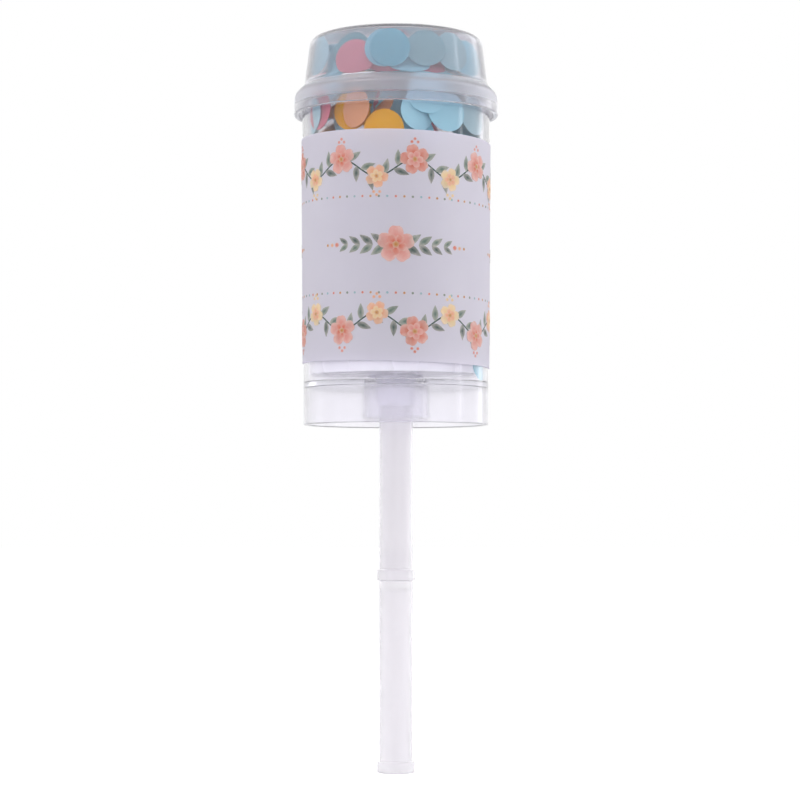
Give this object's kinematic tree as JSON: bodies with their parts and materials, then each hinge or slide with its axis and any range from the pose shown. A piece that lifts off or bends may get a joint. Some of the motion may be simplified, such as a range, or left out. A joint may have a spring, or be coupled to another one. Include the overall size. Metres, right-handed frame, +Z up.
{
  "type": "confetti popper",
  "caption": "Clear push-up confetti popper: barrel with a floor and guide sleeve, lift-off lid, piston on a two-piece push stick, paper label and loose paper discs.",
  "frame": {"origin": "centre of the barrel's bottom rim, on the barrel's axis", "axes": "+Z up along the barrel's axis, the way the confetti leaves; -Y is the front that the picture shows, with the label's seam at +Y"},
  "size_m": [0.055, 0.055, 0.1969],
  "materials": {
    "clear_barrel": "clear polypropylene, glossy, faint lavender tint at the edges",
    "clear_lid": "clear polypropylene, slightly milky",
    "piston_plastic": "translucent polypropylene",
    "stick_plastic": "milky translucent polypropylene",
    "label_paper": "satin printed paper",
    "blue_paper": "matte tissue paper",
    "aqua_paper": "matte tissue paper",
    "pink_paper": "matte tissue paper",
    "peach_paper": "matte tissue paper",
    "yellow_paper": "matte tissue paper"
  },
  "bodies": {
    "barrel": {"barrel": "clear_barrel", "label": "label_paper", "stray_flake": "blue_paper"},
    "plunger": {"piston": "piston_plastic", "upper_stick": "stick_plastic", "lower_stick": "stick_plastic", "confetti_blue": "blue_paper", "confetti_aqua": "aqua_paper", "confetti_pink": "pink_paper", "confetti_peach": "peach_paper", "confetti_yellow": "yellow_paper"},
    "lid": {"lid": "clear_lid"}
  },
  "joints": [
    {"name": "plunger_push", "type": "slide", "parent": "barrel", "child": "plunger", "axis": [0, 0, 1], "range_m": [0, 0.07], "deforming": ["confetti_blue", "confetti_aqua", "confetti_pink", "confetti_peach", "confetti_yellow"]},
    {"name": "lid_lift", "type": "slide", "parent": "barrel", "child": "lid", "axis": [0, 0, 1], "range_m": [0, 0.04]}
  ]
}
